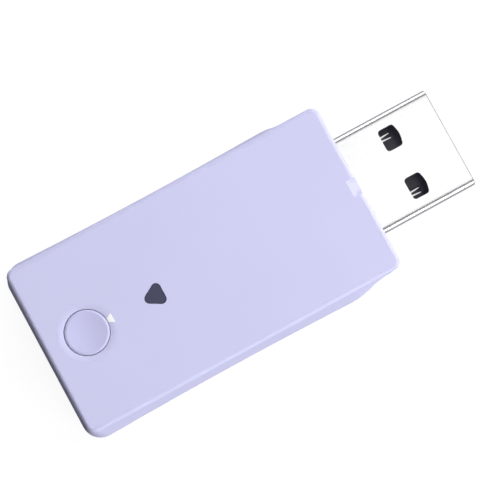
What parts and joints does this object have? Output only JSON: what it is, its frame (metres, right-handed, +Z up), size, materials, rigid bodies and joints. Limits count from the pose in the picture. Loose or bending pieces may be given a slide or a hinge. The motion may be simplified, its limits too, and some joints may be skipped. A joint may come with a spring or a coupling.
{
  "type": "wireless controller adapter",
  "caption": "Small drafted plastic dongle with a dished round pairing button, a triangular status lens and a Type-A plug, for linking a game controller by radio.",
  "frame": {"origin": "on the surface that the adapter lies on, under the middle of its whole length and width, plug included", "axes": "+X towards the plug's tip, +Y to the left of the plug seen from above, +Z up through the button"},
  "size_m": [0.0514, 0.022, 0.009],
  "materials": {
    "cover": "fine satin moulded plastic",
    "button": "fine satin moulded plastic",
    "lens": "smoked glossy plastic",
    "plug_metal": "plated sheet steel",
    "insulator": "satin moulded plastic",
    "contact": "plated spring strip",
    "board": "solder resist over glass laminate",
    "switch_plastic": "satin",
    "switch_metal": "plated sheet",
    "diode": "clear moulding on a white base",
    "chip": "moulded epoxy",
    "can": "plated can",
    "ceramic_light": "fired ceramic with metal ends",
    "ceramic_tan": "fired ceramic with tinned ends",
    "ceramic_dark": "glazed film with tinned ends"
  },
  "bodies": {
    "housing": {"top_cover": "cover", "base_cover": "cover", "status_lens": "lens", "usb_shell": "plug_metal", "usb_insulator": "insulator", "usb_contact_1": "contact", "usb_contact_2": "contact", "usb_contact_3": "contact", "usb_contact_4": "contact", "circuit_board": "board", "switch_base": "switch_plastic", "switch_contact_1": "switch_metal", "switch_contact_2": "switch_metal", "switch_cover": "switch_metal", "switch_dome": "switch_metal", "status_led": "diode", "radio_chip": "chip", "controller_chip": "chip", "regulator": "chip", "crystal_1": "can", "crystal_2": "can", "antenna": "ceramic_light", "inductor": "ceramic_dark", "capacitor_1": "ceramic_tan", "capacitor_2": "ceramic_tan", "capacitor_3": "ceramic_tan", "capacitor_4": "ceramic_tan", "capacitor_5": "ceramic_tan", "capacitor_6": "ceramic_tan", "resistor_1": "ceramic_dark", "resistor_2": "ceramic_dark", "resistor_3": "ceramic_dark", "resistor_4": "ceramic_dark"},
    "button": {"pairing_button": "button", "switch_stem": "switch_plastic"}
  },
  "joints": [
    {"name": "button_press", "type": "slide", "parent": "housing", "child": "button", "axis": [0, 0, -1], "range_m": [0, 0.0003], "stiffness_N_per_m": 4000, "deforming": ["switch_dome"]}
  ]
}
